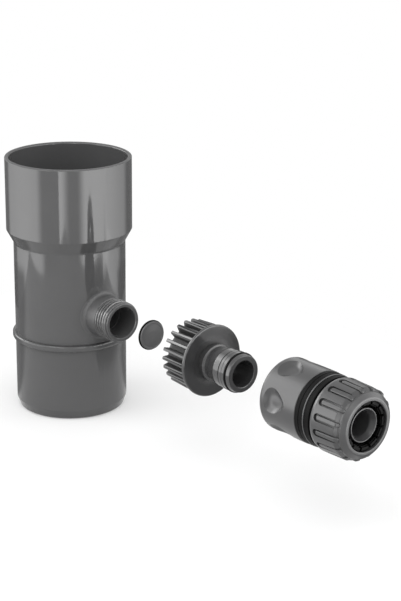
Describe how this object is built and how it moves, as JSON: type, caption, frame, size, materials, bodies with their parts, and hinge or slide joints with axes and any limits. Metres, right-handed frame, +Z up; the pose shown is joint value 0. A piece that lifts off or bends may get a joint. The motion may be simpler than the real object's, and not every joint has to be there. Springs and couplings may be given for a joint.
{
  "type": "rainwater diverter",
  "caption": "Rainwater diverter for a round downpipe, pulled apart: socketed pipe with a threaded side outlet, stop disc, finned hose adaptor and quick hose connector.",
  "frame": {"origin": "Centre of the spigot's lower end, on the downpipe's axis.", "axes": "+Z up the downpipe to the socket, +X out of the side outlet along the row of pulled-out pieces, +Y to the left seen from the outlet's end looking back."},
  "size_m": [0.314, 0.0808, 0.166],
  "materials": {
    "body_grey": "anthracite grey moulded plastic, satin gloss",
    "fitting_grey": "dark grey moulded plastic, satin gloss",
    "connector_grey": "mid grey moulded plastic, satin gloss",
    "black_plastic": "black moulded plastic, satin",
    "rubber": "black rubber, matt"
  },
  "bodies": {
    "diverter": {"diverter_body": "body_grey", "collector_ring": "body_grey"},
    "stopper": {"stop_disc": "body_grey", "stop_disc_seal": "rubber"},
    "adaptor": {"threaded_adaptor": "fitting_grey", "adaptor_washer": "rubber", "nipple_o_ring": "rubber"},
    "connector": {"connector_core": "fitting_grey", "core_band": "rubber", "sleeve_stop_ring": "black_plastic"},
    "sleeve": {"locking_sleeve": "connector_grey", "sleeve_grip_ring": "rubber"},
    "first_claw": {"claw_1": "black_plastic"},
    "second_claw": {"claw_2": "black_plastic"},
    "third_claw": {"claw_3": "black_plastic"},
    "collet": {"clamp_collet": "black_plastic"},
    "nut": {"hose_nut": "connector_grey"}
  },
  "joints": [
    {"name": "adaptor_slide", "type": "slide", "parent": "diverter", "child": "adaptor", "axis": [-1, 0, 0], "range_m": [0, 0.079]},
    {"name": "stop_disc_slide", "type": "slide", "parent": "diverter", "child": "stopper", "axis": [-1, 0, 0], "range_m": [0, 0.04405]},
    {"name": "connector_slide", "type": "slide", "parent": "adaptor", "child": "connector", "axis": [-1, 0, 0], "range_m": [0, 0.0611]},
    {"name": "sleeve_slide", "type": "slide", "parent": "connector", "child": "sleeve", "axis": [-1, 0, 0], "range_m": [0, 0.003]},
    {"name": "first_claw_slide", "type": "slide", "parent": "connector", "child": "first_claw", "axis": [0, 0, -1], "range_m": [0, 0.0018]},
    {"name": "second_claw_slide", "type": "slide", "parent": "connector", "child": "second_claw", "axis": [0, 0.866, 0.5], "range_m": [0, 0.0018]},
    {"name": "third_claw_slide", "type": "slide", "parent": "connector", "child": "third_claw", "axis": [0, -0.866, 0.5], "range_m": [0, 0.0018]},
    {"name": "nut_advance", "type": "slide", "parent": "connector", "child": "collet", "axis": [1, 0, 0], "range_m": [0, 0.009]},
    {"name": "nut_turn", "type": "hinge", "parent": "collet", "child": "nut", "pos_m": [0.262, 0, 0.069], "axis": [1, 0, 0], "range_deg": [0, 1080]}
  ],
  "couplings": [
    {"joint": "stop_disc_slide", "follows": "adaptor_slide", "ratio": 0.55759},
    {"joint": "first_claw_slide", "follows": "sleeve_slide", "ratio": 0.6},
    {"joint": "second_claw_slide", "follows": "sleeve_slide", "ratio": 0.6},
    {"joint": "third_claw_slide", "follows": "sleeve_slide", "ratio": 0.6},
    {"joint": "nut_turn", "follows": "nut_advance", "rad_per_m": 2094.4}
  ]
}
